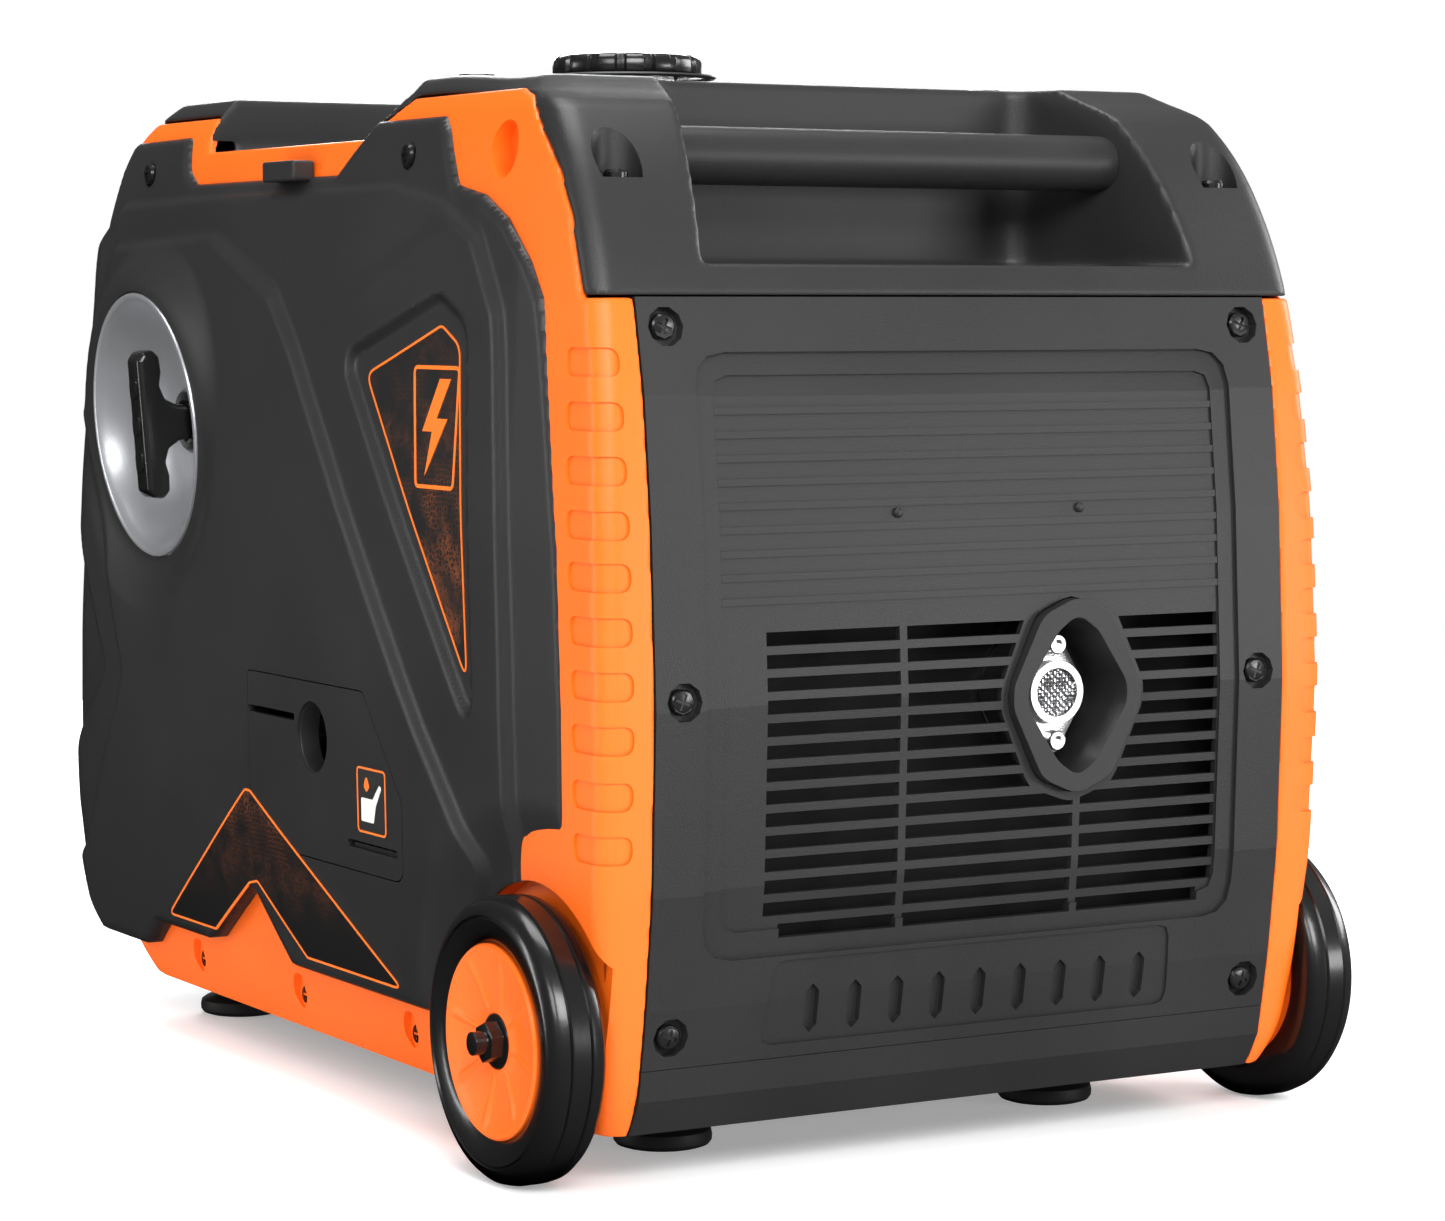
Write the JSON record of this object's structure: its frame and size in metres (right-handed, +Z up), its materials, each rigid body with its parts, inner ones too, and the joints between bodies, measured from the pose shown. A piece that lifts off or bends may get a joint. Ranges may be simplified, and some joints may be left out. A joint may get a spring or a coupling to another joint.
{
  "type": "inverter generator",
  "caption": "Closed-frame portable inverter generator on wheels, with carry bar, pull-out handle, recoil starter, louvred exhaust end and socket panel.",
  "frame": {"origin": "on the floor under the middle of the overall box", "axes": "+Z up, exhaust and wheel end towards +Y, control panel end towards -Y, recoil starter side towards +X"},
  "size_m": [0.4472, 0.62, 0.5015],
  "materials": {
    "orange": "semi-gloss moulded orange plastic",
    "dark": "fine-grained charcoal plastic",
    "black": "glossy black plastic",
    "tyre": "smooth black rubber",
    "rubber": "matt black rubber",
    "silver": "satin silver paint",
    "steel": "bright zinc-plated steel",
    "cast": "cast aluminium",
    "copper": "enamelled copper winding",
    "sheet": "aluminised sheet steel",
    "tank": "black moulded tank",
    "rope": "braided cord",
    "screen": "dark display lens",
    "red": "glossy red plastic",
    "white": "white moulded plastic"
  },
  "bodies": {
    "housing": {"side_frame_right": "orange", "side_frame_left": "orange", "top_cover": "dark", "side_cover_right": "dark", "side_cover_left": "dark", "rear_panel": "dark", "exhaust_bezel": "dark", "front_panel": "dark", "outlet_duplex_a": "dark", "outlet_duplex_b": "dark", "outlet_round": "dark", "base_tray": "dark", "control_face": "black", "dc_socket": "black", "axle_bolt_right": "black", "axle_bolt_left": "black", "carry_bar": "black", "air_filter_box": "black", "battery": "black", "foot_rear_right": "rubber", "foot_rear_left": "rubber", "foot_front_right": "rubber", "foot_front_left": "rubber", "recoil_dish": "silver", "ground_terminal": "steel", "axle": "steel", "filler_neck": "steel", "exhaust_flange": "steel", "exhaust_screen": "steel", "crankcase": "cast", "cylinder_head": "cast", "carburettor": "cast", "inverter_module": "cast", "stator": "copper", "muffler": "sheet", "fuel_tank": "tank", "display": "screen", "fuel_gauge": "screen", "spark_plug": "white"},
    "wheel_right": {"tyre_right": "tyre", "hub_right": "orange"},
    "wheel_left": {"tyre_left": "tyre", "hub_left": "orange"},
    "pull_handle": {"pull_handle": "black"},
    "recoil_grip": {"recoil_grip": "black", "recoil_rope": "rope"},
    "recoil_pulley": {"recoil_pulley": "black"},
    "fuel_cap": {"fuel_cap": "black"},
    "cap_vent_knob": {"cap_vent_knob": "black"},
    "oil_door": {"oil_door": "dark"},
    "oil_cap": {"oil_cap": "orange"},
    "crank": {"crankshaft": "steel", "flywheel_fan": "cast"},
    "fuel_switch_knob": {"fuel_switch_knob": "black"},
    "start_button": {"start_button": "orange"},
    "eco_switch": {"eco_switch": "orange"},
    "breaker_a": {"breaker_a": "white"},
    "breaker_b": {"breaker_b": "white"},
    "reset_button": {"reset_button": "red"}
  },
  "joints": [
    {"name": "wheel_right_spin", "type": "hinge", "parent": "housing", "child": "wheel_right", "pos_m": [0.2018, 0.2445, 0.0634], "axis": [1, 0, 0], "continuous": true},
    {"name": "wheel_left_spin", "type": "hinge", "parent": "housing", "child": "wheel_left", "pos_m": [-0.2018, 0.2445, 0.0634], "axis": [1, 0, 0], "continuous": true},
    {"name": "pull_handle_slide", "type": "slide", "parent": "housing", "child": "pull_handle", "axis": [0, -1, 0], "range_m": [0, 0.2]},
    {"name": "recoil_pull", "type": "slide", "parent": "housing", "child": "recoil_grip", "axis": [0.9968, 0, -0.0802], "range_m": [0, 0.12]},
    {"name": "recoil_pulley_turn", "type": "hinge", "parent": "housing", "child": "recoil_pulley", "pos_m": [0.125, -0.127, 0.271], "axis": [1, 0, 0], "range_deg": [0, 172]},
    {"name": "fuel_cap_lift", "type": "slide", "parent": "housing", "child": "fuel_cap", "axis": [0, 0, 1], "range_m": [0, 0.06]},
    {"name": "cap_vent_turn", "type": "hinge", "parent": "fuel_cap", "child": "cap_vent_knob", "pos_m": [0.079, 0.124, 0.5], "axis": [0, 0, 1], "range_deg": [0, 90]},
    {"name": "oil_door_off", "type": "slide", "parent": "housing", "child": "oil_door", "axis": [1, 0, 0], "range_m": [0, 0.06]},
    {"name": "oil_cap_turn", "type": "hinge", "parent": "housing", "child": "oil_cap", "pos_m": [0.165, 0.038, 0.15], "axis": [1, 0, 0], "continuous": true},
    {"name": "crank_spin", "type": "hinge", "parent": "housing", "child": "crank", "pos_m": [0, -0.04, 0.176], "axis": [1, 0, 0], "continuous": true},
    {"name": "fuel_switch_turn", "type": "hinge", "parent": "housing", "child": "fuel_switch_knob", "pos_m": [-0.092, -0.284, 0.32], "axis": [0, -1, 0], "range_deg": [0, 90]},
    {"name": "start_press", "type": "slide", "parent": "housing", "child": "start_button", "axis": [0, 1, 0], "range_m": [0, 0.003], "stiffness_N_per_m": 400},
    {"name": "eco_rock", "type": "hinge", "parent": "housing", "child": "eco_switch", "pos_m": [0.002, -0.284, 0.318], "axis": [1, 0, 0], "range_deg": [0, 12]},
    {"name": "breaker_a_press", "type": "slide", "parent": "housing", "child": "breaker_a", "axis": [0, 1, 0], "range_m": [0, 0.003], "stiffness_N_per_m": 400},
    {"name": "breaker_b_press", "type": "slide", "parent": "housing", "child": "breaker_b", "axis": [0, 1, 0], "range_m": [0, 0.003], "stiffness_N_per_m": 400},
    {"name": "reset_press", "type": "slide", "parent": "housing", "child": "reset_button", "axis": [0, 1, 0], "range_m": [0, 0.003], "stiffness_N_per_m": 400}
  ],
  "couplings": [
    {"joint": "recoil_pulley_turn", "follows": "recoil_pull", "rad_per_m": 25}
  ]
}
